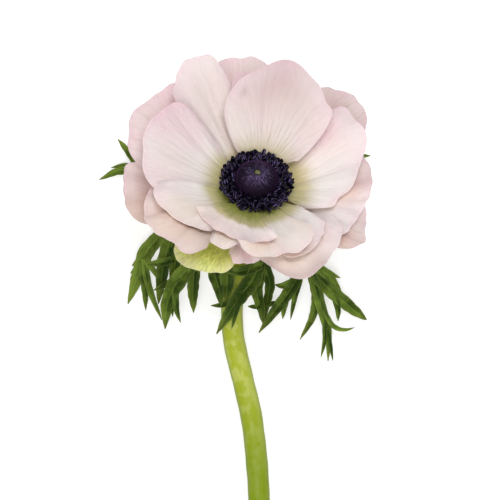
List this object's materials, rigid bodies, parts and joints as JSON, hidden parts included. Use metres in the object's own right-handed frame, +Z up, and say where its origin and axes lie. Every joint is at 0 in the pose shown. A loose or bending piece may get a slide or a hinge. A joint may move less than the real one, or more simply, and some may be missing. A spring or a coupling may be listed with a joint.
{
  "type": "anemone flower",
  "caption": "Cut anemone lying on a surface: bent green stem, finely cut bracts, and a bowl of overlapping blush petals round a dark domed centre ringed by stamens.",
  "frame": {"origin": "bottom middle of the whole flower's box, on the surface that the flower lies on", "axes": "+Z up from the surface; the stem's cut end points along -Y and the bloom lies towards +Y, opening upwards and away from the stem; +X is to the right seen from above with the bloom at the top"},
  "size_m": [0.0948, 0.2444, 0.0554],
  "materials": {
    "petal_blush": "matte",
    "petal_green": "matte",
    "stem_green": "satin",
    "leaf_green": "satin",
    "heart_violet": "matte",
    "anther_navy": "satin"
  },
  "bodies": {
    "root": {"stem": "stem_green", "bract_left": "leaf_green", "bract_front": "leaf_green", "bract_right": "leaf_green", "petal_top_front": "petal_blush", "petal_bottom_front": "petal_blush", "petal_left_upper_lip": "petal_blush", "petal_right_lower_lip": "petal_blush", "petal_left_inner": "petal_blush", "petal_right_second_lip": "petal_blush", "petal_bottom_small": "petal_blush", "petal_top_small": "petal_blush", "petal_right_inner": "petal_blush", "petal_top_left_inner": "petal_blush", "petal_left_lower_lip": "petal_blush", "petal_right_third_lip": "petal_blush", "petal_upper_right_outer": "petal_blush", "petal_upper_left_outer": "petal_blush", "petal_right_outer": "petal_blush", "petal_bottom_pink_outer": "petal_blush", "petal_top_outer": "petal_blush", "petal_left_outer": "petal_blush", "petal_bottom_green_outer": "petal_green", "petal_lower_right_outer": "petal_blush", "stamens_inner": "anther_navy", "stamens_middle": "anther_navy", "stamens_outer": "anther_navy", "pistil": "heart_violet"}
  },
  "joints": []
}
